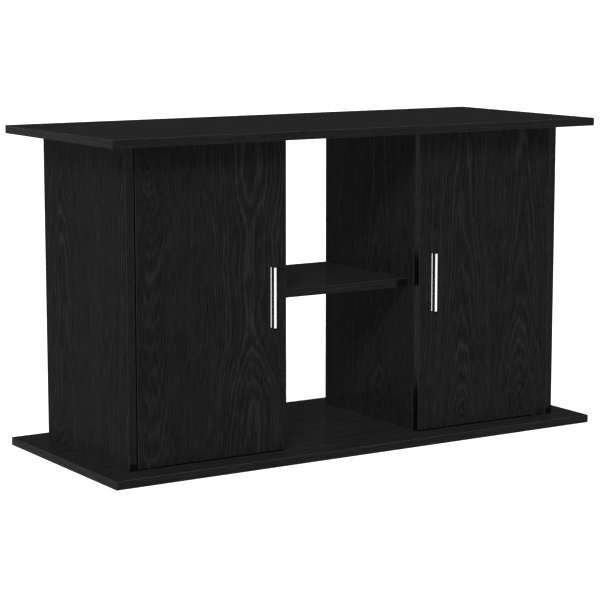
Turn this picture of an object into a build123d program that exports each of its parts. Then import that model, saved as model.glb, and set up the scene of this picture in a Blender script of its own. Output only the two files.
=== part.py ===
from build123d import *
import os

# Aquarium stand cabinet, in millimetres.
# The origin is on the floor under the middle of the cabinet. +X is to the right seen from the front,
# the doors face -Y, and +Z is up.

# Boards and overall size
WIDTH = 1010.0
DEPTH = 410.0
HEIGHT = 580.0
BOARD = 15.0
OVERHANG = 50.0  # both plates stand out by this much on all four sides
PLATE_ARRIS = 1.0
BOARD_ARRIS = 0.6

# Doors
DOOR_SIDE_GAP = 2.5
DOOR_INNER_SETBACK = 0.5  # from the bay face of the divider
DOOR_BACK_GAP = 1.5
DOOR_END_GAP = 2.5
DOOR_ARRIS = 1.0

# Middle shelf
SHELF_BOTTOM = 280.0
SHELF_SETBACK = 19.5  # behind the front edges of the dividers

# Handle: an extruded bar on a flat foot
HANDLE_X = 172.0
HANDLE_LENGTH = 106.0
HANDLE_PITCH = 96.0
HANDLE_FOOT_WIDTH = 6.0
HANDLE_FOOT = 1.5
HANDLE_BAR_WIDTH = 4.5
HANDLE_PROUD = 11.4
HANDLE_ARRIS = 0.3
HANDLE_SCREW_RADIUS = 1.5
HANDLE_SCREW_ROOM = 0.2  # radial, where the screws pass through the door
HANDLE_SCREW_REACH = 7.0  # into the bar
HANDLE_SCREW_HEAD_RADIUS = 3.2
HANDLE_SCREW_HEAD = 2.2
HANDLE_SCREW_CROSS = (3.6, 0.8, 1.4)

# Door pivots, set in the middle of the door's thickness
PIVOT_INSET = 24.0  # from the inner face of the side panel
PIN_RADIUS = 3.0
PIN_REACH = 8.5  # into the bush, past the door gap
PIN_IN_DOOR = 26.0
PIN_CHAMFER = 0.5
BUSH_RADIUS = 5.0
BUSH_DEPTH = 10.5
BUSH_FLOOR = 0.8  # left closed under the pin
BUSH_FLANGE_RADIUS = 6.5
BUSH_FLANGE = 1.2
WASHER_RADIUS = 6.0
WASHER = 1.2

# Cam fittings
CAM_BOLT_LENGTH = 34.0  # from the joint face to the middle of the disc
CAM_THREAD = 11.0
CAM_THREAD_TIP = 2.0
CAM_THREAD_RADIUS = 3.5
CAM_SHANK_RADIUS = 2.8
CAM_COLLAR = 0.5  # half the height of the cone between thread and shank
CAM_NECK_RADIUS = 1.8
CAM_NECK = 2.5
CAM_HEAD_RADIUS = 3.3
CAM_HEAD = 3.0  # half of it past the middle of the disc
CAM_DISC_RADIUS = 7.5
CAM_DISC_SUNK = 1.0
CAM_DISC_ROOM = 0.3  # around the bolt's head
CAM_CROSS = (8.0, 1.4, 1.8)
CAM_BORE_DEPTH = 12.5
CAM_CAP_RADIUS = 8.5
CAM_CAP = 0.6
CAM_CAP_PLUG = 0.8
CAM_CAP_PLUG_ROOM = 0.1
CAM_Y = 95.0
BACK_CAM_Z = (115.0, 465.0)

# Dowels and panel screws
DOWEL_RADIUS = 4.0
DOWEL_SHORT = 10.0
DOWEL_LONG = 20.0
DOWEL_CHAMFER = 1.0
DOWEL_Y = 63.0
SHELF_DOWEL_Y = (-19.0, 55.0)
SCREW_LENGTH = 50.0
SCREW_RADIUS = 3.5
SCREW_CORE_RADIUS = 3.1
SCREW_TIP_RADIUS = 1.0
SCREW_TIP = 4.0
SCREW_HEAD_RADIUS = 5.4
SCREW_RIM = 0.8  # kept off the edge of the countersink
SCREW_SUNK = 0.6
SCREW_NECK = 1.7
SCREW_SOCKET_RADIUS = 2.3
SCREW_SOCKET = 3.0
SHELF_SCREW_Y = (-69.0, 105.0)

# Magnetic catch
CATCH_Z = 505.0
CATCH_WIDTH = 14.0
CATCH_DEPTH = 14.5
CATCH_LENGTH = 46.0
CATCH_CORNER = 2.0
CATCH_PROUD = 0.1  # how far the housing stands in front of the divider's front edge
CATCH_SCREW_PITCH = 36.0
CATCH_SCREW_RADIUS = 1.75
CATCH_SCREW_REACH = 10.0  # into the divider
CATCH_SCREW_HEAD_RADIUS = 3.2
CATCH_SCREW_HEAD = 2.0
CATCH_SCREW_CROSS = (3.4, 0.8, 1.3)
MAGNET = (8.0, 9.0, 22.0)
POLE = 1.0
POLE_PROUD = 0.2
STRIKE = (12.0, 1.0, 36.0)
STRIKE_CORNER = 2.0
STRIKE_HOLE_RADIUS = 1.5
STRIKE_SINK_RADIUS = 3.1
STRIKE_SCREW_RADIUS = 1.4
STRIKE_SCREW_TIP_RADIUS = 0.4
STRIKE_SCREW_TIP = 2.0
STRIKE_SCREW_LENGTH = 11.0
STRIKE_SCREW_HEAD_RADIUS = 2.8
STRIKE_SCREW_SUNK = 0.15
STRIKE_SCREW_SLOT = (2.4, 0.6, 0.8)
BUFFER_RADIUS = 4.0
BUFFER = 1.3
BUFFER_EDGE = 0.4
BUFFER_Z = (60.0, 440.0)

PAN_CROWN = 0.45  # the share of a pan head's height that is rounded
FIT = 0.05  # radial room around pins, screws and dowels
END_ROOM = 0.5  # left at the bottom of a blind bore

# Places that follow from the sizes above
top_z = HEIGHT - BOARD
front_y = OVERHANG - DEPTH / 2
back_y = -front_y
outer_x = WIDTH / 2 - OVERHANG
bay = (2 * outer_x - 4 * BOARD) / 3
side_in = outer_x - BOARD
divider_in = bay / 2
divider_out = divider_in + BOARD
side_mid = outer_x - BOARD / 2
divider_mid = divider_in + BOARD / 2
divider_front = front_y + BOARD + DOOR_BACK_GAP
door_back = front_y + BOARD
door_out = side_in - DOOR_SIDE_GAP
door_in = divider_in + DOOR_INNER_SETBACK
door_bottom = BOARD + DOOR_END_GAP
door_top = top_z - DOOR_END_GAP
door_mid_z = (door_bottom + door_top) / 2
shelf_front = divider_front + SHELF_SETBACK
shelf_mid_z = SHELF_BOTTOM + BOARD / 2
back_board_y = back_y - BOARD / 2
pivot_x = side_in - PIVOT_INSET
pivot_y = front_y + BOARD / 2
catch_x = divider_out + CATCH_WIDTH / 2
catch_front = divider_front - CATCH_PROUD
handle_screw_z = (door_mid_z - HANDLE_PITCH / 2, door_mid_z + HANDLE_PITCH / 2)
upright_x = (-side_mid, -divider_mid, divider_mid, side_mid)

UP, DOWN = (0, 0, 1), (0, 0, -1)
LEFT, RIGHT = (-1, 0, 0), (1, 0, 0)
FRONT, BACK = (0, -1, 0), (0, 1, 0)
SIDES = (("left", -1), ("right", 1))
SEAT = (Align.CENTER, Align.CENTER, Align.MIN)
HANG = (Align.CENTER, Align.CENTER, Align.MAX)

os.makedirs("parts", exist_ok=True)


def save(part, label):
    part.label = label
    export_step(part, f"parts/{label}.step")


def along_x(sign):
    """The direction towards the outside of the cabinet, on the side given by sign."""
    return (sign, 0, 0)


def planes(points, direction):
    """One plane at each point, its normal along direction."""
    return [Plane(origin=point, z_dir=direction) for point in points]


def bore(points, outward, radius, depth):
    """Blind bores that start on a face and run into the board, against the outward direction."""
    with Locations(*planes(points, outward)):
        Hole(radius, depth)


def cross_recess(top, size):
    """A cross for a screwdriver, sunk from the height top. The size is its length, width and depth."""
    for turn in (0, 90):
        with Locations(Location((0, 0, top), (0, 0, turn))):
            Box(*size, align=HANG, mode=Mode.SUBTRACT)


def pan_screw(radius, reach, head_radius, head, cross):
    """A screw whose head stands on the XY plane, with its shank below."""
    with BuildPart() as screw:
        Cylinder(radius, reach, align=HANG)
        Cylinder(head_radius, head, align=SEAT)
        fillet(screw.edges().sort_by(Axis.Z)[-1], PAN_CROWN * head)
        cross_recess(head, cross)
    return screw.part


# Where the fasteners cross each joint

plate_cams = [(x, y, top_z) for x in upright_x for y in (-CAM_Y, CAM_Y)]
plate_dowels = [(x, y, top_z) for x in upright_x for y in (-DOWEL_Y, DOWEL_Y)]
base_screws_at = [(x, y, 0.0) for x in upright_x for y in (-CAM_Y, CAM_Y)]
base_dowels_at = [(x, y, BOARD) for x in upright_x for y in (-DOWEL_Y, DOWEL_Y)]
pivots_at = [(sign * pivot_x, pivot_y) for _, sign in SIDES]


def shelf_screws_at(sign):
    return [(sign * divider_out, y, shelf_mid_z) for y in SHELF_SCREW_Y]


def shelf_dowels_at(sign):
    return [(sign * divider_in, y, shelf_mid_z) for y in SHELF_DOWEL_Y]


def back_cams_at(x):
    return [(x, back_board_y, z) for z in BACK_CAM_Z]


# Top and base plates

with BuildPart() as top_panel:
    with BuildSketch(Plane.XY.offset(top_z)):
        Rectangle(WIDTH, DEPTH)
    extrude(amount=BOARD)
    fillet(top_panel.edges(), PLATE_ARRIS)
    bore(plate_cams, DOWN, CAM_THREAD_RADIUS + FIT, CAM_THREAD + END_ROOM)
    bore(plate_dowels, DOWN, DOWEL_RADIUS + FIT, DOWEL_SHORT + END_ROOM)
    bore([(x, y, top_z) for x, y in pivots_at], DOWN, BUSH_RADIUS + FIT, BUSH_DEPTH + FIT)
save(top_panel.part, "top_panel")

with BuildPart() as base_panel:
    with BuildSketch(Plane.XY):
        Rectangle(WIDTH, DEPTH)
    extrude(amount=BOARD)
    fillet(base_panel.edges(), PLATE_ARRIS)
    bore(base_dowels_at, UP, DOWEL_RADIUS + FIT, DOWEL_SHORT + END_ROOM)
    bore([(x, y, BOARD) for x, y in pivots_at], UP, BUSH_RADIUS + FIT, BUSH_DEPTH + FIT)
    with Locations(*planes(base_screws_at, DOWN)):
        CounterSinkHole(SCREW_RADIUS + FIT, SCREW_HEAD_RADIUS, BOARD, counter_sink_angle=90)
save(base_panel.part, "base_panel")


# Uprights: two side panels and two dividers, each with the same bores in its two ends

def bore_upright(x, cabinet_face, cabinet_side):
    """End bores for bolts, screws and dowels, and disc bores in the face towards the cabinet."""
    tops = [(x, y, top_z) for y in (-CAM_Y, CAM_Y)]
    discs = [(cabinet_face, y, top_z - CAM_BOLT_LENGTH) for y in (-CAM_Y, CAM_Y)]
    feet = [(x, y, BOARD) for y in (-CAM_Y, CAM_Y)]
    bore(tops, UP, CAM_THREAD_RADIUS + FIT, CAM_BOLT_LENGTH)
    bore(discs, cabinet_side, CAM_DISC_RADIUS + FIT, CAM_BORE_DEPTH)
    bore(feet, DOWN, SCREW_RADIUS + FIT, SCREW_LENGTH - BOARD + END_ROOM)
    for z, outward in ((top_z, UP), (BOARD, DOWN)):
        dowels = [(x, y, z) for y in (-DOWEL_Y, DOWEL_Y)]
        bore(dowels, outward, DOWEL_RADIUS + FIT, DOWEL_LONG + END_ROOM)


for side, sign in SIDES:
    with BuildPart() as side_panel:
        with BuildSketch(Plane.XY.offset(BOARD)):
            with Locations((sign * side_mid, 0)):
                Rectangle(BOARD, back_y - front_y)
        extrude(amount=top_z - BOARD)
        fillet(side_panel.edges().filter_by(Axis.Z), BOARD_ARRIS)
        bore_upright(sign * side_mid, sign * side_in, along_x(-sign))
        bore(
            back_cams_at(sign * side_in), along_x(-sign), CAM_THREAD_RADIUS + FIT, CAM_THREAD + END_ROOM
        )
    save(side_panel.part, f"{side}_side_panel")

    with BuildPart() as divider:
        with BuildSketch(Plane.XY.offset(BOARD)):
            with Locations((sign * divider_mid, (divider_front + back_y) / 2)):
                Rectangle(BOARD, back_y - divider_front)
        extrude(amount=top_z - BOARD)
        fillet(divider.edges().filter_by(Axis.Z), BOARD_ARRIS)
        bore_upright(sign * divider_mid, sign * divider_out, along_x(sign))
        bore(
            back_cams_at(sign * divider_out), along_x(sign), CAM_THREAD_RADIUS + FIT, CAM_THREAD + END_ROOM
        )
        bore(shelf_dowels_at(sign), along_x(-sign), DOWEL_RADIUS + FIT, DOWEL_SHORT + END_ROOM)
        with Locations(*planes(shelf_screws_at(sign), along_x(sign))):
            CounterSinkHole(SCREW_RADIUS + FIT, SCREW_HEAD_RADIUS, BOARD, counter_sink_angle=90)
        catch_screws_at = [
            (sign * divider_out, divider_front + CATCH_DEPTH / 2, CATCH_Z + dz)
            for dz in (-CATCH_SCREW_PITCH / 2, CATCH_SCREW_PITCH / 2)
        ]
        bore(catch_screws_at, along_x(sign), CATCH_SCREW_RADIUS + FIT, CATCH_SCREW_REACH + END_ROOM)
    save(divider.part, f"{side}_divider")

with BuildPart() as middle_shelf:
    with BuildSketch(Plane.XY.offset(SHELF_BOTTOM)):
        with Locations((0, (shelf_front + back_y) / 2)):
            Rectangle(bay, back_y - shelf_front)
    extrude(amount=BOARD)
    fillet(middle_shelf.edges().filter_by(Axis.X), BOARD_ARRIS)
    for _, sign in SIDES:
        ends = [(sign * divider_in, y, shelf_mid_z) for y in SHELF_SCREW_Y]
        bore(ends, along_x(sign), SCREW_RADIUS + FIT, SCREW_LENGTH - BOARD + END_ROOM)
        bore(shelf_dowels_at(sign), along_x(sign), DOWEL_RADIUS + FIT, DOWEL_LONG + END_ROOM)
save(middle_shelf.part, "middle_shelf")


# Back boards, each held by two cam bolts in the side panel and two in the divider

for side, sign in SIDES:
    with BuildPart() as back_panel:
        with BuildSketch(Plane.XY.offset(BOARD)):
            with Locations((sign * (side_in + divider_out) / 2, back_board_y)):
                Rectangle(side_in - divider_out, BOARD)
        extrude(amount=top_z - BOARD)
        for edge_x, inward in ((side_in, -1), (divider_out, 1)):
            disc_x = edge_x + inward * CAM_BOLT_LENGTH
            discs = [(sign * disc_x, back_y - BOARD, z) for z in BACK_CAM_Z]
            ends = back_cams_at(sign * edge_x)
            bore(ends, along_x(-sign * inward), CAM_THREAD_RADIUS + FIT, CAM_BOLT_LENGTH)
            bore(discs, FRONT, CAM_DISC_RADIUS + FIT, CAM_BORE_DEPTH)
    save(back_panel.part, f"{side}_back_panel")


# Cam fittings. A bolt's frame starts at the joint, its thread below and its head above.

with BuildPart() as cam_bolt:
    head_end = CAM_BOLT_LENGTH + CAM_HEAD / 2
    head_start = head_end - CAM_HEAD
    neck_start = head_start - CAM_NECK
    with BuildSketch(Plane.XZ):
        with BuildLine():
            Polyline(
                (0, -CAM_THREAD),
                (CAM_SHANK_RADIUS, -CAM_THREAD),
                (CAM_THREAD_RADIUS, CAM_THREAD_TIP - CAM_THREAD),
                (CAM_THREAD_RADIUS, -CAM_COLLAR),
                (CAM_SHANK_RADIUS, CAM_COLLAR),
                (CAM_SHANK_RADIUS, neck_start - CAM_COLLAR),
                (CAM_NECK_RADIUS, neck_start + CAM_COLLAR),
                (CAM_NECK_RADIUS, head_start),
                (CAM_HEAD_RADIUS, head_start + 2 * CAM_COLLAR),
                (CAM_HEAD_RADIUS, head_end),
                (0, head_end),
                close=True,
            )
        make_face()
    revolve(axis=Axis.Z)

# A disc's frame starts on the face of its board, the disc below it. The bolt comes along +X.
with BuildPart() as cam_disc:
    with Locations((0, 0, -CAM_DISC_SUNK)):
        Cylinder(CAM_DISC_RADIUS, CAM_BORE_DEPTH - CAM_DISC_SUNK - FIT, align=HANG)
    with Locations(Plane(origin=(-CAM_HEAD_RADIUS, 0, -BOARD / 2), z_dir=RIGHT)):
        Cylinder(
            CAM_HEAD_RADIUS + CAM_DISC_ROOM, 2 * CAM_DISC_RADIUS, align=SEAT, mode=Mode.SUBTRACT
        )
    cross_recess(-CAM_DISC_SUNK, CAM_CROSS)

with BuildPart() as cam_cap:
    Cylinder(CAM_CAP_RADIUS, CAM_CAP, align=SEAT)
    fillet(cam_cap.edges().sort_by(Axis.Z)[-1], CAM_CAP / 2)
    Cylinder(CAM_DISC_RADIUS - CAM_CAP_PLUG_ROOM, CAM_CAP_PLUG, align=HANG)


def disc_planes():
    """The face of every board that holds a disc, each plane's X axis pointing to the bolt's joint."""
    faces = []
    for x in upright_x:
        inward = -1 if abs(x) == side_mid else 1
        cabinet = inward * (1 if x > 0 else -1)
        face_x = x + cabinet * BOARD / 2
        for y in (-CAM_Y, CAM_Y):
            centre = (face_x, y, top_z - CAM_BOLT_LENGTH)
            faces.append(Plane(origin=centre, x_dir=UP, z_dir=(cabinet, 0, 0)))
    for _, sign in SIDES:
        for edge_x, inward in ((side_in, -1), (divider_out, 1)):
            for z in BACK_CAM_Z:
                centre = (sign * (edge_x + inward * CAM_BOLT_LENGTH), back_y - BOARD, z)
                faces.append(Plane(origin=centre, x_dir=(-sign * inward, 0, 0), z_dir=FRONT))
    return faces


with BuildPart() as cam_bolts:
    with Locations(*planes(plate_cams, DOWN)):
        add(cam_bolt.part)
    for _, sign in SIDES:
        with Locations(*planes(back_cams_at(sign * side_in), along_x(-sign))):
            add(cam_bolt.part)
        with Locations(*planes(back_cams_at(sign * divider_out), along_x(sign))):
            add(cam_bolt.part)
save(cam_bolts.part, "cam_bolts")

with BuildPart() as cam_discs:
    with Locations(*disc_planes()):
        add(cam_disc.part)
save(cam_discs.part, "cam_discs")

with BuildPart() as cam_caps:
    with Locations(*disc_planes()):
        add(cam_cap.part)
save(cam_caps.part, "cam_caps")


# Dowels: the long end is in the upright or the shelf

with BuildPart() as dowel:
    with BuildSketch(Plane.XY.offset(-DOWEL_SHORT)):
        Circle(DOWEL_RADIUS)
    extrude(amount=DOWEL_SHORT + DOWEL_LONG)
    chamfer(dowel.edges().filter_by(GeomType.CIRCLE), DOWEL_CHAMFER)

for label, spots in (
    ("top_dowels", planes(plate_dowels, DOWN)),
    ("base_dowels", planes(base_dowels_at, UP)),
    ("shelf_dowels", planes(shelf_dowels_at(-1), RIGHT) + planes(shelf_dowels_at(1), LEFT)),
):
    with BuildPart() as dowels:
        with Locations(*spots):
            add(dowel.part)
    save(dowels.part, label)


# Long panel screws with a countersunk head and a hexagon socket, a little below the surface

with BuildPart() as panel_screw:
    with BuildSketch(Plane.XZ):
        with BuildLine():
            Polyline(
                (0, SCREW_SUNK),
                (SCREW_HEAD_RADIUS - SCREW_RIM, SCREW_SUNK),
                (SCREW_RADIUS, SCREW_NECK),
                (SCREW_RADIUS, BOARD),
                (SCREW_CORE_RADIUS, BOARD + SCREW_RADIUS - SCREW_CORE_RADIUS),
                (SCREW_CORE_RADIUS, SCREW_LENGTH - SCREW_TIP),
                (SCREW_TIP_RADIUS, SCREW_LENGTH),
                (0, SCREW_LENGTH),
                close=True,
            )
        make_face()
    revolve(axis=Axis.Z)
    with BuildSketch(Plane.XY.offset(SCREW_SUNK)):
        RegularPolygon(SCREW_SOCKET_RADIUS, side_count=6)
    extrude(amount=SCREW_SOCKET, mode=Mode.SUBTRACT)

with BuildPart() as base_screws:
    with Locations(*planes(base_screws_at, UP)):
        add(panel_screw.part)
save(base_screws.part, "base_screws")

with BuildPart() as shelf_screws:
    with Locations(*planes(shelf_screws_at(-1), RIGHT), *planes(shelf_screws_at(1), LEFT)):
        add(panel_screw.part)
save(shelf_screws.part, "shelf_screws")


# Door pivots. A bush's frame starts on the face of its plate.

with BuildPart() as bush:
    Cylinder(BUSH_FLANGE_RADIUS, BUSH_FLANGE, align=SEAT)
    Cylinder(BUSH_RADIUS, BUSH_DEPTH, align=HANG)
    with Locations((0, 0, BUSH_FLANGE)):
        Hole(PIN_RADIUS + FIT, BUSH_FLANGE + BUSH_DEPTH - BUSH_FLOOR)

for label, z, facing in (("base_pivot_bushes", BOARD, UP), ("top_pivot_bushes", top_z, DOWN)):
    with BuildPart() as bushes:
        with Locations(*planes([(x, y, z) for x, y in pivots_at], facing)):
            add(bush.part)
    save(bushes.part, label)

# A pin's frame starts on the end of the door and points into the plate.
with BuildPart() as pin:
    with Locations((0, 0, -PIN_IN_DOOR)):
        Cylinder(PIN_RADIUS, PIN_IN_DOOR + DOOR_END_GAP + PIN_REACH, align=SEAT)
    chamfer(pin.edges().filter_by(GeomType.CIRCLE), PIN_CHAMFER)

with BuildPart() as washer:
    with Locations((0, 0, FIT)):
        Cylinder(WASHER_RADIUS, WASHER, align=SEAT)
        Cylinder(PIN_RADIUS + FIT, WASHER, align=SEAT, mode=Mode.SUBTRACT)


# Doors, and what turns with them

handle_screw = pan_screw(
    HANDLE_SCREW_RADIUS,
    BOARD + HANDLE_SCREW_REACH,
    HANDLE_SCREW_HEAD_RADIUS,
    HANDLE_SCREW_HEAD,
    HANDLE_SCREW_CROSS,
)

with BuildPart() as strike_screw:
    with BuildSketch(Plane.XZ):
        with BuildLine():
            Polyline(
                (0, -STRIKE_SCREW_LENGTH),
                (STRIKE_SCREW_TIP_RADIUS, -STRIKE_SCREW_LENGTH),
                (STRIKE_SCREW_RADIUS, STRIKE_SCREW_TIP - STRIKE_SCREW_LENGTH),
                (STRIKE_SCREW_RADIUS, STRIKE_SCREW_RADIUS - STRIKE_SCREW_HEAD_RADIUS - STRIKE_SCREW_SUNK),
                (STRIKE_SCREW_HEAD_RADIUS, -STRIKE_SCREW_SUNK),
                (0, -STRIKE_SCREW_SUNK),
                close=True,
            )
        make_face()
    revolve(axis=Axis.Z)
    with Locations((0, 0, -STRIKE_SCREW_SUNK)):
        Box(*STRIKE_SCREW_SLOT, align=HANG, mode=Mode.SUBTRACT)

for side, sign in SIDES:
    handle_spots = [(sign * HANDLE_X, door_back, z) for z in handle_screw_z]
    pin_ends = [(sign * pivot_x, pivot_y, door_bottom), (sign * pivot_x, pivot_y, door_top)]
    strike_spot = (sign * catch_x, door_back + STRIKE[1], CATCH_Z)

    with BuildPart() as door:
        with BuildSketch(Plane.XY.offset(door_bottom)):
            with Locations((sign * (door_in + door_out) / 2, pivot_y)):
                Rectangle(door_out - door_in, BOARD)
        extrude(amount=door_top - door_bottom)
        fillet(door.edges(), DOOR_ARRIS)
        bore(handle_spots, BACK, HANDLE_SCREW_RADIUS + HANDLE_SCREW_ROOM, BOARD)
        bore(pin_ends[:1], DOWN, PIN_RADIUS + FIT, PIN_IN_DOOR + FIT)
        bore(pin_ends[1:], UP, PIN_RADIUS + FIT, PIN_IN_DOOR + FIT)
        with Locations(Plane(origin=(sign * catch_x, door_back, CATCH_Z), z_dir=BACK)):
            CounterSinkHole(
                STRIKE_SCREW_RADIUS + FIT,
                STRIKE_SINK_RADIUS - STRIKE[1] + FIT,
                STRIKE_SCREW_LENGTH,
                counter_sink_angle=90,
            )
    save(door.part, f"{side}_door")

    with BuildPart() as handle:
        with BuildSketch(Plane.XY.offset(door_mid_z - HANDLE_LENGTH / 2)):
            with Locations((sign * HANDLE_X, front_y)):
                Rectangle(HANDLE_FOOT_WIDTH, HANDLE_FOOT, align=(Align.CENTER, Align.MAX))
                Rectangle(HANDLE_BAR_WIDTH, HANDLE_PROUD, align=(Align.CENTER, Align.MAX))
        extrude(amount=HANDLE_LENGTH)
        fillet(handle.faces().sort_by(Axis.Y)[0].edges(), HANDLE_ARRIS)
        fillet(handle.edges().filter_by(Axis.Z).group_by(Axis.X)[0], HANDLE_ARRIS)
        fillet(handle.edges().filter_by(Axis.Z).group_by(Axis.X)[-1], HANDLE_ARRIS)
        screw_starts = [(x, front_y, z) for x, _, z in handle_spots]
        bore(screw_starts, BACK, HANDLE_SCREW_RADIUS + FIT, HANDLE_SCREW_REACH + END_ROOM)
    save(handle.part, f"{side}_handle")

    with BuildPart() as handle_screws:
        with Locations(*planes(handle_spots, BACK)):
            add(handle_screw)
    save(handle_screws.part, f"{side}_handle_screws")

    with BuildPart() as pivot_pins:
        with Locations(Plane(origin=pin_ends[0], z_dir=DOWN), Plane(origin=pin_ends[1], z_dir=UP)):
            add(pin.part)
    save(pivot_pins.part, f"{side}_pivot_pins")

    with BuildPart() as pivot_washers:
        with Locations(Plane(origin=pin_ends[0], z_dir=DOWN), Plane(origin=pin_ends[1], z_dir=UP)):
            add(washer.part)
    save(pivot_washers.part, f"{side}_pivot_washers")

    with BuildPart() as strike_plate:
        with BuildSketch(Plane.XZ.offset(-door_back)):
            with Locations((sign * catch_x, CATCH_Z)):
                RectangleRounded(STRIKE[0], STRIKE[2], STRIKE_CORNER)
        extrude(amount=-STRIKE[1])
        with Locations(Plane(origin=strike_spot, z_dir=BACK)):
            CounterSinkHole(STRIKE_HOLE_RADIUS, STRIKE_SINK_RADIUS, STRIKE[1], counter_sink_angle=90)
    save(strike_plate.part, f"{side}_strike_plate")

    with BuildPart() as strike_screw_set:
        with Locations(Plane(origin=strike_spot, z_dir=BACK)):
            add(strike_screw.part)
    save(strike_screw_set.part, f"{side}_strike_screw")

    with BuildPart() as buffers:
        with Locations(*planes([(sign * divider_mid, door_back, z) for z in BUFFER_Z], BACK)):
            Cylinder(BUFFER_RADIUS, BUFFER, align=SEAT)
        fillet(buffers.faces().group_by(Axis.Y)[-1].edges(), BUFFER_EDGE)
    save(buffers.part, f"{side}_door_buffers")


# Magnetic catches, screwed to the dividers just behind the doors

catch_screw = pan_screw(
    CATCH_SCREW_RADIUS,
    CATCH_WIDTH + CATCH_SCREW_REACH,
    CATCH_SCREW_HEAD_RADIUS,
    CATCH_SCREW_HEAD,
    CATCH_SCREW_CROSS,
)
pocket_width = MAGNET[0] + 2 * POLE + 4 * FIT
pocket_length = MAGNET[2] + 2 * FIT

for side, sign in SIDES:
    magnet_y = catch_front + MAGNET[1] / 2
    screw_heads = [
        (sign * (divider_out + CATCH_WIDTH), divider_front + CATCH_DEPTH / 2, CATCH_Z + dz)
        for dz in (-CATCH_SCREW_PITCH / 2, CATCH_SCREW_PITCH / 2)
    ]

    with BuildPart() as catch_housing:
        with BuildSketch(Plane.XZ.offset(-catch_front)):
            with Locations((sign * catch_x, CATCH_Z)):
                RectangleRounded(CATCH_WIDTH, CATCH_LENGTH, CATCH_CORNER)
                Rectangle(pocket_width, pocket_length, mode=Mode.SUBTRACT)
        extrude(amount=-CATCH_DEPTH)
        with BuildSketch(Plane.XZ.offset(-(catch_front + MAGNET[1] + FIT))):
            with Locations((sign * catch_x, CATCH_Z)):
                Rectangle(pocket_width, pocket_length)
        extrude(amount=-(CATCH_DEPTH - MAGNET[1] - FIT))
        bore(screw_heads, along_x(sign), CATCH_SCREW_RADIUS + FIT, CATCH_WIDTH)
    save(catch_housing.part, f"{side}_catch_housing")

    with BuildPart() as catch_magnet:
        with Locations((sign * catch_x, magnet_y, CATCH_Z)):
            Box(*MAGNET)
    save(catch_magnet.part, f"{side}_catch_magnet")

    with BuildPart() as catch_poles:
        for edge in (-1, 1):
            pole_x = sign * catch_x + edge * ((MAGNET[0] + POLE) / 2 + FIT)
            with Locations((pole_x, magnet_y - POLE_PROUD / 2, CATCH_Z)):
                Box(POLE, MAGNET[1] + POLE_PROUD, MAGNET[2])
    save(catch_poles.part, f"{side}_catch_poles")

    with BuildPart() as catch_screws:
        with Locations(*planes(screw_heads, along_x(sign))):
            add(catch_screw)
    save(catch_screws.part, f"{side}_catch_screws")
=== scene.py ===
"""Looks of the aquarium stand cabinet: finishes for its pieces, a pale floor, light and a camera."""

import math
from collections import namedtuple

import bpy
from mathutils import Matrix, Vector


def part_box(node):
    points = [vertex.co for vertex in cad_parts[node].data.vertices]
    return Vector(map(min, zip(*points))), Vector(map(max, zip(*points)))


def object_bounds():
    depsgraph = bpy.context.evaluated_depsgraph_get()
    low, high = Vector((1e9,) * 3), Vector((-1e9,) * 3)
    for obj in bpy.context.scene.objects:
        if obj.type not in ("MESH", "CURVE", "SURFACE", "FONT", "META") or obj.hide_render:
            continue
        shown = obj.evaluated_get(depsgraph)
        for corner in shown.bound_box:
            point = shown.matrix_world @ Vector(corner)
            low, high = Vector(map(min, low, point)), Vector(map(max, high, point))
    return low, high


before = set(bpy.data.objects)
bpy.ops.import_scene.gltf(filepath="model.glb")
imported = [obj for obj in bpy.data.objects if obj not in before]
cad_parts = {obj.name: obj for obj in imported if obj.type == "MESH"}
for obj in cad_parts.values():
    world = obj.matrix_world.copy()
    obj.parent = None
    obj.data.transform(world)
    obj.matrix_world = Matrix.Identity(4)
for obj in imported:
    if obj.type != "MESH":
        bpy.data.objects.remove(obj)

cad_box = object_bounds()
X, Y, Z = 0, 1, 2

# ---------------------------------------------------------------- camera, floor and light

CAMERA_TURN = math.radians(-32.49)  # round the cabinet, towards its left side
CAMERA_RISE = math.radians(8.73)  # above the horizon
CAMERA_DISTANCE = 3.864
CAMERA_LENS = 126.0  # mm, on a 36 mm sensor
AIM_OFFSET = Vector((-0.0138, 0.0027, -0.0383))  # from the middle of the cabinet's box

FLOOR_HALF = 60.0
FLOOR_DROP = 0.0002  # keeps the floor just clear of the base plate
FLOOR_WHITE = 0.94
FLOOR_GLOW = 0.35  # lifts the cabinet's shadow on the floor towards the white background
FLOOR_BOUNCE = 0.33  # how white the floor is to the light that it throws back up

BACKGROUND = 1.0  # what the camera sees past the floor
ROOM = 0.40  # the even light of the room from all round
KEY_LIGHT = 1.9  # W/m2 from the front left
KEY_SPREAD = 16  # degrees
KEY_TURN = math.radians(-42)
KEY_RISE = math.radians(35)
TOP_FILL = 1.88  # W/m2 straight down, shaded by the doors alone
FRONT_FILL = 1.24  # W/m2 level from the front and the back, without shadows
SIDE_FILL = 1.8  # the same from the left and the right, on the side panels
BAY_FILL = 1.15  # the same from the left and the right, on the dividers

DOORS = [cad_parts[name] for name in ("left_door", "right_door")]
DIVIDERS = [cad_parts[name] for name in ("left_divider", "right_divider")]
SIDE_PANELS = [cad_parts[name] for name in ("left_side_panel", "right_side_panel")]


def direction(turn, rise):
    """The unit vector from the cabinet at this turn round it and this rise above the horizon."""
    level = math.cos(rise)
    return Vector((math.sin(turn) * level, -math.cos(turn) * level, math.sin(rise)))


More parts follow.
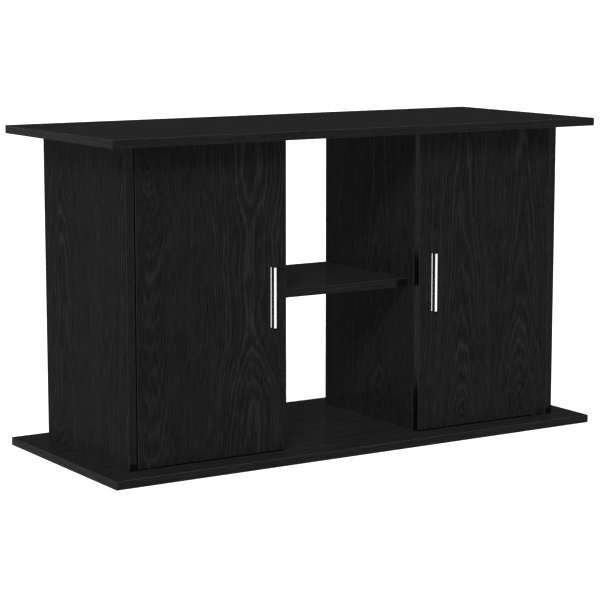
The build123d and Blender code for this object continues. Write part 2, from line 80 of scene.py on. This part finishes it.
def make_camera():
    data = bpy.data.cameras.new("camera")
    data.lens = CAMERA_LENS
    data.sensor_width = 36.0
    data.clip_end = 2 * FLOOR_HALF
    camera = bpy.data.objects.new("camera", data)
    bpy.context.collection.objects.link(camera)
    low, high = cad_box
    back = direction(CAMERA_TURN, CAMERA_RISE)
    camera.location = (low + high) / 2 + AIM_OFFSET + back * CAMERA_DISTANCE
    camera.rotation_mode = "QUATERNION"
    camera.rotation_quaternion = (-back).to_track_quat("-Z", "Y")
    bpy.context.scene.camera = camera


def group(name, objects):
    collection = bpy.data.collections.new(name)
    for item in objects:
        collection.objects.link(item)
    return collection


def make_sun(name, turn, rise, strength, spread=0, lit=(), shaders=()):
    """A distant lamp on the objects in lit, or on all.

    With a spread it casts shadows as usual. Without one, only the shaders cast any.
    """
    data = bpy.data.lights.new(name, "SUN")
    data.energy = strength
    data.angle = math.radians(spread)
    data.use_shadow = spread > 0 or bool(shaders)
    sun = bpy.data.objects.new(name, data)
    bpy.context.collection.objects.link(sun)
    sun.rotation_mode = "QUATERNION"
    sun.rotation_quaternion = (-direction(turn, rise)).to_track_quat("-Z", "Y")
    sun.visible_glossy = spread > 0
    if lit:
        sun.light_linking.receiver_collection = group(name + ".lit", lit)
    if shaders:
        sun.light_linking.blocker_collection = group(name + ".shaders", shaders)


def make_lights():
    make_sun("key_light", KEY_TURN, KEY_RISE, KEY_LIGHT, spread=KEY_SPREAD)
    make_sun("top_fill", 0.0, math.radians(90), TOP_FILL, shaders=DOORS)
    for number, side in enumerate(("front", "right", "back", "left")):
        turn = math.radians(90 * number)
        if side in ("front", "back"):
            make_sun(side + "_fill", turn, 0.0, FRONT_FILL)
        else:
            make_sun(side + "_fill", turn, 0.0, SIDE_FILL, lit=SIDE_PANELS)
            make_sun(side + "_bay_fill", turn, 0.0, BAY_FILL, lit=DIVIDERS)


def make_world():
    """A dim even room, with a white background for the camera."""
    world = bpy.data.worlds.new("studio")
    world.use_nodes = True
    tree = world.node_tree
    path = tree.nodes.new("ShaderNodeLightPath")
    level = tree.nodes.new("ShaderNodeMix")
    level.inputs["A"].default_value = ROOM
    level.inputs["B"].default_value = BACKGROUND
    tree.links.new(path.outputs["Is Camera Ray"], level.inputs["Factor"])
    background = tree.nodes["Background"]
    background.inputs["Color"].default_value = (1, 1, 1, 1)
    tree.links.new(level.outputs["Result"], background.inputs["Strength"])
    bpy.context.scene.world = world


# ---------------------------------------------------------------- building node trees


class Graph:
    """One material, with short calls that add a node and give its output."""

    def __init__(self, name):
        self.material = bpy.data.materials.new(name)
        self.material.use_nodes = True
        self.tree = self.material.node_tree
        self.shader = self.tree.nodes["Principled BSDF"]

    def feed(self, socket, value):
        if isinstance(value, bpy.types.NodeSocket):
            self.tree.links.new(value, socket)
        elif value is not None:
            socket.default_value = value

    def add(self, kind, **settings):
        node = self.tree.nodes.new("ShaderNode" + kind)
        for name, value in settings.items():
            setattr(node, name, value)
        return node

    def math(self, operation, *values, clamp=False):
        node = self.add("Math", operation=operation, use_clamp=clamp)
        for socket, value in zip(node.inputs, values):
            self.feed(socket, value)
        return node.outputs["Value"]

    def scale_add(self, value, factor, offset=0.0):
        return self.math("MULTIPLY_ADD", value, factor, offset)

    def mix(self, factor, low, high):
        node = self.add("Mix")
        for name, value in (("Factor", factor), ("A", low), ("B", high)):
            self.feed(node.inputs[name], value)
        return node.outputs["Result"]

    def step(self, value, low, high):
        """0 below low, 1 above high and a smooth change between."""
        node = self.add("MapRange", interpolation_type="SMOOTHSTEP")
        for name, number in (("Value", value), ("From Min", low), ("From Max", high)):
            self.feed(node.inputs[name], number)
        return node.outputs["Result"]

    def noise(self, vector, scale, detail=2.0, roughness=0.5):
        node = self.add("TexNoise")
        self.feed(node.inputs["Vector"], vector)
        node.inputs["Scale"].default_value = scale
        node.inputs["Detail"].default_value = detail
        node.inputs["Roughness"].default_value = roughness
        return node.outputs["Fac"]

    def wave_along(self, value, scale, seed):
        """A slow random wave between about -1 and 1 along one coordinate."""
        node = self.add("TexNoise", noise_dimensions="1D")
        self.feed(node.inputs["W"], self.scale_add(value, scale, seed))
        node.inputs["Scale"].default_value = 1.0
        node.inputs["Detail"].default_value = 1.0
        return self.scale_add(node.outputs["Fac"], 4.0, -2.0)

    def ramp(self, value, *stops):
        """Each stop is a place from 0 to 1 and a grey or a colour there."""
        node = self.add("ValToRGB")
        points = node.color_ramp.elements
        while len(points) < len(stops):
            points.new(0.5)
        for point, (place, colour) in zip(points, stops):
            point.position = place
            point.color = (*colour, 1) if isinstance(colour, tuple) else (colour, colour, colour, 1)
        self.feed(node.inputs["Fac"], value)
        return node.outputs["Color"]

    def vector(self, x, y, z):
        node = self.add("CombineXYZ")
        for socket, value in zip(node.inputs, (x, y, z)):
            self.feed(socket, value)
        return node.outputs["Vector"]

    def axes(self, vector):
        node = self.add("SeparateXYZ")
        self.feed(node.inputs["Vector"], vector)
        return list(node.outputs)

    def place(self):
        return self.add("TexCoord").outputs["Object"]

    def facing(self):
        """How far the surface faces along each of the piece's own axes, from 0 to 1."""
        normal = self.add("TexCoord").outputs["Normal"]
        return [self.math("ABSOLUTE", part) for part in self.axes(normal)]

    def bump(self, height, distance):
        node = self.add("Bump")
        node.inputs["Distance"].default_value = distance
        node.inputs["Strength"].default_value = 1.0
        self.feed(node.inputs["Height"], height)
        self.feed(self.shader.inputs["Normal"], node.outputs["Normal"])

    def surface(self, **values):
        for name, value in values.items():
            self.feed(self.shader.inputs[name.replace("_", " ")], value)


# ---------------------------------------------------------------- black oak board

# The oak's figure. A heart is where the log's pith runs closest under the face, and the rings make
# arches along it:
#   place   where it lies across the board, from 0 to 1
#   depth   how deep the pith is under the face, in metres
#   waver   how much that depth changes along the board, in metres
#   bend    how fast the pith dives: arches point to the board's high end, or to its low end if negative
#   swell   how the dive changes: below 0 it eases off, above 0 it speeds up
#   ring    the width of a ring, in metres
#   clear   how clearly its lines show
Heart = namedtuple("Heart", "place depth waver bend swell ring clear")
LEFT_DOOR = (
    Heart(0.09, 0.034, 0.006, -0.0095, -0.05, 0.0040, 0.65),
    Heart(0.76, 0.135, 0.012, 0.00135, 0.0, 0.0054, 1.0),
)
RIGHT_DOOR = (
    Heart(0.34, 0.022, 0.005, 0.0088, -0.40, 0.0058, 1.0),
    Heart(0.80, 0.024, 0.005, 0.0110, -0.40, 0.0060, 1.0),
)
SIDE = (
    Heart(-0.05, 0.105, 0.006, 0.0060, 0.0, 0.0048, 1.0),
    Heart(0.78, 0.090, 0.009, 0.0060, 0.0, 0.0054, 1.0),
)
DIVIDER = (Heart(0.37, 0.040, 0.008, 0.0200, -0.42, 0.0066, 0.75),)
BACK = (Heart(0.45, 0.068, 0.006, -0.0090, 0.0, 0.0054, 1.0),)
FLAT = (Heart(-0.70, 0.090, 0.009, 0.0068, 0.0, 0.0054, 1.0),)
FIGURES = {
    "left_door": LEFT_DOOR,
    "right_door": RIGHT_DOOR,
    "left_side_panel": SIDE,
    "right_side_panel": SIDE,
    "left_divider": DIVIDER,
    "right_divider": DIVIDER,
    "left_back_panel": BACK,
    "right_back_panel": BACK,
    "top_panel": FLAT,
    "base_panel": FLAT,
    "middle_shelf": FLAT,
}
HEART_OVAL = 1.5  # rings are this much narrower across the board than they are deep
HEART_BLEND = 0.03  # how far the lines of two hearts run into each other
HEART_SWAY = 0.004  # how far a heart strays to either side
SWAY_PACE = 4.0  # changes to a metre
WAVER_PACE = 3.4  # changes to a metre
HEART_SEED_STEP = 7.3
WAVES = 2.9  # rings
JAGS = 1.0  # rings
EDGE_RING = 0.0042  # spacing of the lines on the edge bands

# How much each part of the figure lifts or lowers the tone, which runs from 0 to 1
LINE_TONE = 0.54
FIBRE_TONE = 0.85
BAND_TONE = 0.28
PORE_TONE = -0.14
TONE_BASE = -0.36

OAK_DARK = 0.0042
OAK_LIGHT = 0.0272
EDGE_SHARE = 0.38  # how light the edge bands are beside the faces
# painted highlight: the rounded arrises get a lighter colour to stand for the light they catch
ARRIS_PAINTED_HIGHLIGHT = 0.036
BOARD_ROUGHNESS = 0.5
FACE_LACQUER = 0.02
EDGE_LACQUER = 0.25  # the edge bands are a glossier plastic
LACQUER_ROUGHNESS = 0.16
EMBOSS = 0.00008  # metres


def board_coordinates(graph, thickness, grain):
    """Across and along the grain on any face, in metres: on an edge the band's grain runs along it."""
    cross = 3 - thickness - grain
    place = graph.axes(graph.place())
    facing = graph.facing()
    on_face = graph.math("GREATER_THAN", facing[thickness], 0.5)
    on_end = graph.math("GREATER_THAN", facing[grain], 0.5)
    across = graph.mix(on_face, place[thickness], place[cross])
    along = graph.mix(on_end, place[grain], place[cross])
    return across, along, on_face, facing


def square(graph, value):
    return graph.math("MULTIPLY", value, value)


def grain_noise(graph, across, along, seed, cells, stretch, detail=2.0):
    """Noise drawn out along the grain, with this many cells to a metre across it."""
    point = graph.vector(across, graph.math("MULTIPLY", along, stretch), seed)
    return graph.noise(point, cells, detail=detail)


def growth_lines(graph, count, seed):
    """The light line in each ring, where count is the rings' number out from the pith."""
    profile = ((0.0, 0.0), (0.40, 0.08), (0.66, 1.0), (0.80, 0.35), (1.0, 0.0))
    line = graph.ramp(graph.math("FRACT", count), *profile)
    own_tone = graph.add("TexWhiteNoise", noise_dimensions="1D")
    graph.feed(own_tone.inputs["W"], graph.math("FLOOR", graph.math("ADD", count, seed)))
    return graph.math("MULTIPLY", line, graph.scale_add(own_tone.outputs["Value"], 0.7, 0.3))


def heart_rings(graph, across, along, heart, middle, ends, seed):
    """How many rings out from the pith each point of the face lies, for one heart.

    The middle is where the heart lies across the board, and ends are the board's two ends.
    """
    sway = graph.wave_along(along, SWAY_PACE, seed)
    aside = graph.math("SUBTRACT", across, graph.scale_add(sway, HEART_SWAY, middle))
    aside = graph.math("MULTIPLY", aside, HEART_OVAL)
    waver = graph.wave_along(along, WAVER_PACE, seed + 3.1)
    deep = graph.scale_add(waver, heart.waver, heart.depth)
    start, end = ends if heart.bend > 0 else reversed(ends)
    passed = graph.scale_add(along, 1 / (end - start), -start / (end - start))
    arch = graph.math("MULTIPLY", passed, graph.scale_add(passed, heart.swell, 1.0))
    arch = graph.math("MULTIPLY", arch, 2 * heart.bend * (end - start))
    squares = graph.math("ADD", graph.math("ADD", square(graph, aside), square(graph, deep)), arch)
    return graph.math("DIVIDE", graph.math("SQRT", squares), heart.ring)


def face_lines(graph, across, along, hearts, sides, ends, ripple, seed):
    """The light lines of all the hearts on a face, each with its own part of the board's width."""
    low, high = sides
    lines = None
    last = None
    for number, heart in enumerate(hearts):
        own_seed = seed + HEART_SEED_STEP * number
        middle = low + heart.place * (high - low)
        count = heart_rings(graph, across, along, heart, middle, ends, own_seed)
        own_lines = growth_lines(graph, graph.math("ADD", count, ripple), own_seed)
        own_lines = graph.math("MULTIPLY", own_lines, heart.clear)
        if lines is None:
            lines = own_lines
        else:
            border = (last + middle) / 2
            past = graph.step(across, border - HEART_BLEND, border + HEART_BLEND)
            lines = graph.mix(past, lines, own_lines)
        last = middle
    return lines


def black_oak(node, seed):
    """Black board faced with a printed and lightly embossed oak figure."""
    graph = Graph("black_oak." + node)
    low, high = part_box(node)
    size = high - low
    thickness = min(range(3), key=lambda axis: size[axis])
    grain = X if thickness == Z else Z
    cross = 3 - thickness - grain
    across, along, on_face, facing = board_coordinates(graph, thickness, grain)
    sides = (low[cross], high[cross])
    ends = (low[grain], high[grain])

    waves = grain_noise(graph, across, along, seed, 34.0, 0.09, detail=3.0)
    jags = grain_noise(graph, across, along, seed + 4.0, 240.0, 0.10, detail=3.0)
    ripple = graph.scale_add(waves, WAVES, graph.scale_add(jags, JAGS))
    lines = face_lines(graph, across, along, FIGURES[node], sides, ends, ripple, seed)
    edge_count = graph.math("ADD", graph.math("DIVIDE", across, EDGE_RING), ripple)
    lines = graph.mix(on_face, growth_lines(graph, edge_count, seed), lines)
    fading = grain_noise(graph, across, along, seed + 5.0, 38.0, 0.20)
    lines = graph.math("MULTIPLY", lines, graph.step(fading, 0.18, 0.48))

    fibre = grain_noise(graph, across, along, seed + 9.0, 620.0, 0.05, detail=3.0)
    bands = grain_noise(graph, across, along, seed + 6.0, 55.0, 0.15, detail=4.0)
    pores = grain_noise(graph, across, along, seed + 2.0, 1500.0, 0.06, detail=1.0)
    pores = graph.step(pores, 0.58, 0.72)

    tone = graph.scale_add(bands, BAND_TONE, TONE_BASE)
    tone = graph.scale_add(fibre, FIBRE_TONE, tone)
    tone = graph.scale_add(lines, LINE_TONE, tone)
    tone = graph.scale_add(pores, PORE_TONE, tone)
    tone = graph.math("ADD", tone, 0.0, clamp=True)
    colour = graph.mix(tone, OAK_DARK, OAK_LIGHT)
    colour = graph.math("MULTIPLY", colour, graph.mix(on_face, EDGE_SHARE, 1.0))
    flattest = graph.math("MAXIMUM", graph.math("MAXIMUM", facing[X], facing[Y]), facing[Z])
    # Painted highlight: where the surface faces between the piece's axes, on the rounded arrises, the
    # colour is set lighter to stand for the light they catch.
    colour = graph.mix(graph.step(flattest, 0.97, 0.80), colour, ARRIS_PAINTED_HIGHLIGHT)
    edge_lacquer = graph.scale_add(tone, EDGE_LACQUER, 0.5 * EDGE_LACQUER)

    graph.surface(Base_Color=graph.ramp(colour, (0.0, 0.0), (1.0, 1.0)))
    graph.surface(Roughness=graph.scale_add(tone, -0.10, BOARD_ROUGHNESS), Specular_IOR_Level=0.0)
    graph.surface(Coat_Weight=graph.mix(on_face, edge_lacquer, FACE_LACQUER))
    graph.surface(Coat_IOR=1.5, Coat_Roughness=LACQUER_ROUGHNESS)
    emboss = graph.scale_add(pores, -0.6, graph.scale_add(lines, 0.4, fibre))
    graph.bump(emboss, EMBOSS)
    return graph.material


# ---------------------------------------------------------------- metal, plastic and the small parts


def bright_metal():
    """Polished bar of the handles, drawn along its length."""
    graph = Graph("handle_metal.drawn")
    x, y, z = graph.axes(graph.place())
    drawn = graph.noise(graph.vector(x, y, graph.math("MULTIPLY", z, 0.01)), 2600.0, detail=2.0)
    smear = graph.noise(graph.place(), 60.0, detail=3.0)
    graph.surface(Base_Color=graph.ramp(drawn, (0.2, (0.84, 0.84, 0.85)), (0.8, (0.93, 0.93, 0.94))))
    graph.surface(Roughness=graph.scale_add(smear, 0.10, 0.10), Metallic=1.0)
    graph.bump(drawn, 0.00001)
    return graph.material


def zinc_steel():
    """Zinc-plated fittings, with a faint passivated bloom."""
    graph = Graph("plated_steel.zinc")
    bloom = graph.noise(graph.place(), 420.0, detail=4.0, roughness=0.6)
    greys = ((0.25, (0.50, 0.51, 0.50)), (0.55, (0.64, 0.64, 0.62)), (0.80, (0.70, 0.69, 0.64)))
    graph.surface(Base_Color=graph.ramp(bloom, *greys))
    graph.surface(Roughness=graph.scale_add(bloom, 0.22, 0.22), Metallic=1.0)
    graph.bump(bloom, 0.00002)
    return graph.material


def blackened_steel():
    """Black oxide on turned steel."""
    graph = Graph("blackened_steel.oxide")
    bloom = graph.noise(graph.place(), 700.0, detail=3.0)
    blacks = ((0.3, (0.006, 0.006, 0.007)), (0.7, (0.013, 0.013, 0.014)))
    graph.surface(Base_Color=graph.ramp(bloom, *blacks), Roughness=graph.scale_add(bloom, 0.20, 0.45))
    graph.surface(Metallic=0.4, Specular_IOR_Level=0.12)
    graph.bump(bloom, 0.00001)
    return graph.material


def beech():
    """Plain beech of the dowels, with its short dark flecks."""
    graph = Graph("dowel_beech.turned")
    x, y, z = graph.axes(graph.place())
    streak = graph.noise(graph.vector(x, y, graph.math("MULTIPLY", z, 0.15)), 900.0, detail=3.0)
    flecks = graph.step(graph.noise(graph.place(), 1900.0, detail=1.0), 0.60, 0.70)
    tone = graph.scale_add(flecks, -0.35, streak)
    browns = ((0.1, (0.36, 0.20, 0.10)), (0.5, (0.60, 0.41, 0.24)), (0.8, (0.70, 0.51, 0.33)))
    graph.surface(Base_Color=graph.ramp(tone, *browns), Roughness=graph.scale_add(streak, 0.15, 0.55))
    graph.bump(tone, 0.00005)
    return graph.material


def black_plastic():
    """Moulded plastic with a fine spark-eroded texture."""
    graph = Graph("black_plastic.moulded")
    spark = graph.noise(graph.place(), 2400.0, detail=2.0)
    cloud = graph.noise(graph.place(), 90.0, detail=2.0)
    graph.surface(Base_Color=graph.ramp(cloud, (0.3, 0.007), (0.7, 0.013)))
    graph.surface(Roughness=graph.scale_add(spark, 0.20, 0.38), Specular_IOR_Level=0.12)
    graph.bump(spark, 0.00003)
    return graph.material


def ferrite():
    """Sintered magnet, dull and slightly pitted."""
    graph = Graph("magnet.ferrite")
    grit = graph.noise(graph.place(), 1700.0, detail=4.0, roughness=0.7)
    greys = ((0.3, (0.030, 0.030, 0.033)), (0.7, (0.085, 0.085, 0.090)))
    graph.surface(Base_Color=graph.ramp(grit, *greys))
    graph.surface(Roughness=graph.scale_add(grit, 0.25, 0.50), Metallic=0.3)
    graph.bump(grit, 0.00004)
    return graph.material


def clear_rubber():
    """Self-adhesive polyurethane buffers, cloudy and soft."""
    graph = Graph("clear_buffer.polyurethane")
    haze = graph.noise(graph.place(), 260.0, detail=2.0)
    graph.surface(Base_Color=graph.ramp(haze, (0.3, (0.62, 0.62, 0.60)), (0.7, (0.78, 0.78, 0.75))))
    graph.surface(Roughness=graph.scale_add(haze, 0.20, 0.22), Transmission_Weight=0.55, IOR=1.49)
    graph.bump(haze, 0.00002)
    return graph.material


def pale_floor():
    """Matt white studio floor, with a trace of unevenness."""
    graph = Graph("floor.paper")
    cloud = graph.noise(graph.place(), 3.0, detail=2.0)
    white = graph.scale_add(cloud, 0.02, FLOOR_WHITE)
    path = graph.add("LightPath")
    grey = graph.mix(path.outputs["Is Diffuse Ray"], white, FLOOR_BOUNCE)
    glow = graph.scale_add(path.outputs["Is Camera Ray"], FLOOR_GLOW)
    graph.surface(Base_Color=graph.ramp(grey, (0.0, 0.0), (1.0, 1.0)))
    graph.surface(Roughness=0.9, Specular_IOR_Level=0.0)
    graph.surface(Emission_Color=(1, 1, 1, 1), Emission_Strength=glow)
    return graph.material


def make_floor():
    half = FLOOR_HALF
    corners = [(-half, -half, 0), (half, -half, 0), (half, half, 0), (-half, half, 0)]
    mesh = bpy.data.meshes.new("floor")
    mesh.from_pydata(corners, [], [(0, 1, 2, 3)])
    floor = bpy.data.objects.new("floor", mesh)
    bpy.context.collection.objects.link(floor)
    floor.location.z = cad_box[0].z - FLOOR_DROP
    mesh.materials.append(pale_floor())


SLOT_FINISHES = {
    "handle_metal": bright_metal,
    "plated_steel": zinc_steel,
    "blackened_steel": blackened_steel,
    "dowel_beech": beech,
    "black_plastic": black_plastic,
    "magnet": ferrite,
    "clear_buffer": clear_rubber,
}


def finish_nodes():
    """Gives each CAD node its finish: its own oak figure on a board, a shared finish elsewhere."""
    shared = {slot: make() for slot, make in SLOT_FINISHES.items()}
    for number, (name, node) in enumerate(sorted(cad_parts.items())):
        for slot in node.material_slots:
            kind = slot.material.name
            slot.material = black_oak(name, 10.0 + number) if name in FIGURES else shared[kind]


finish_nodes()
make_world()
make_floor()
make_lights()
make_camera()
bpy.context.scene.view_settings.view_transform = "Standard"
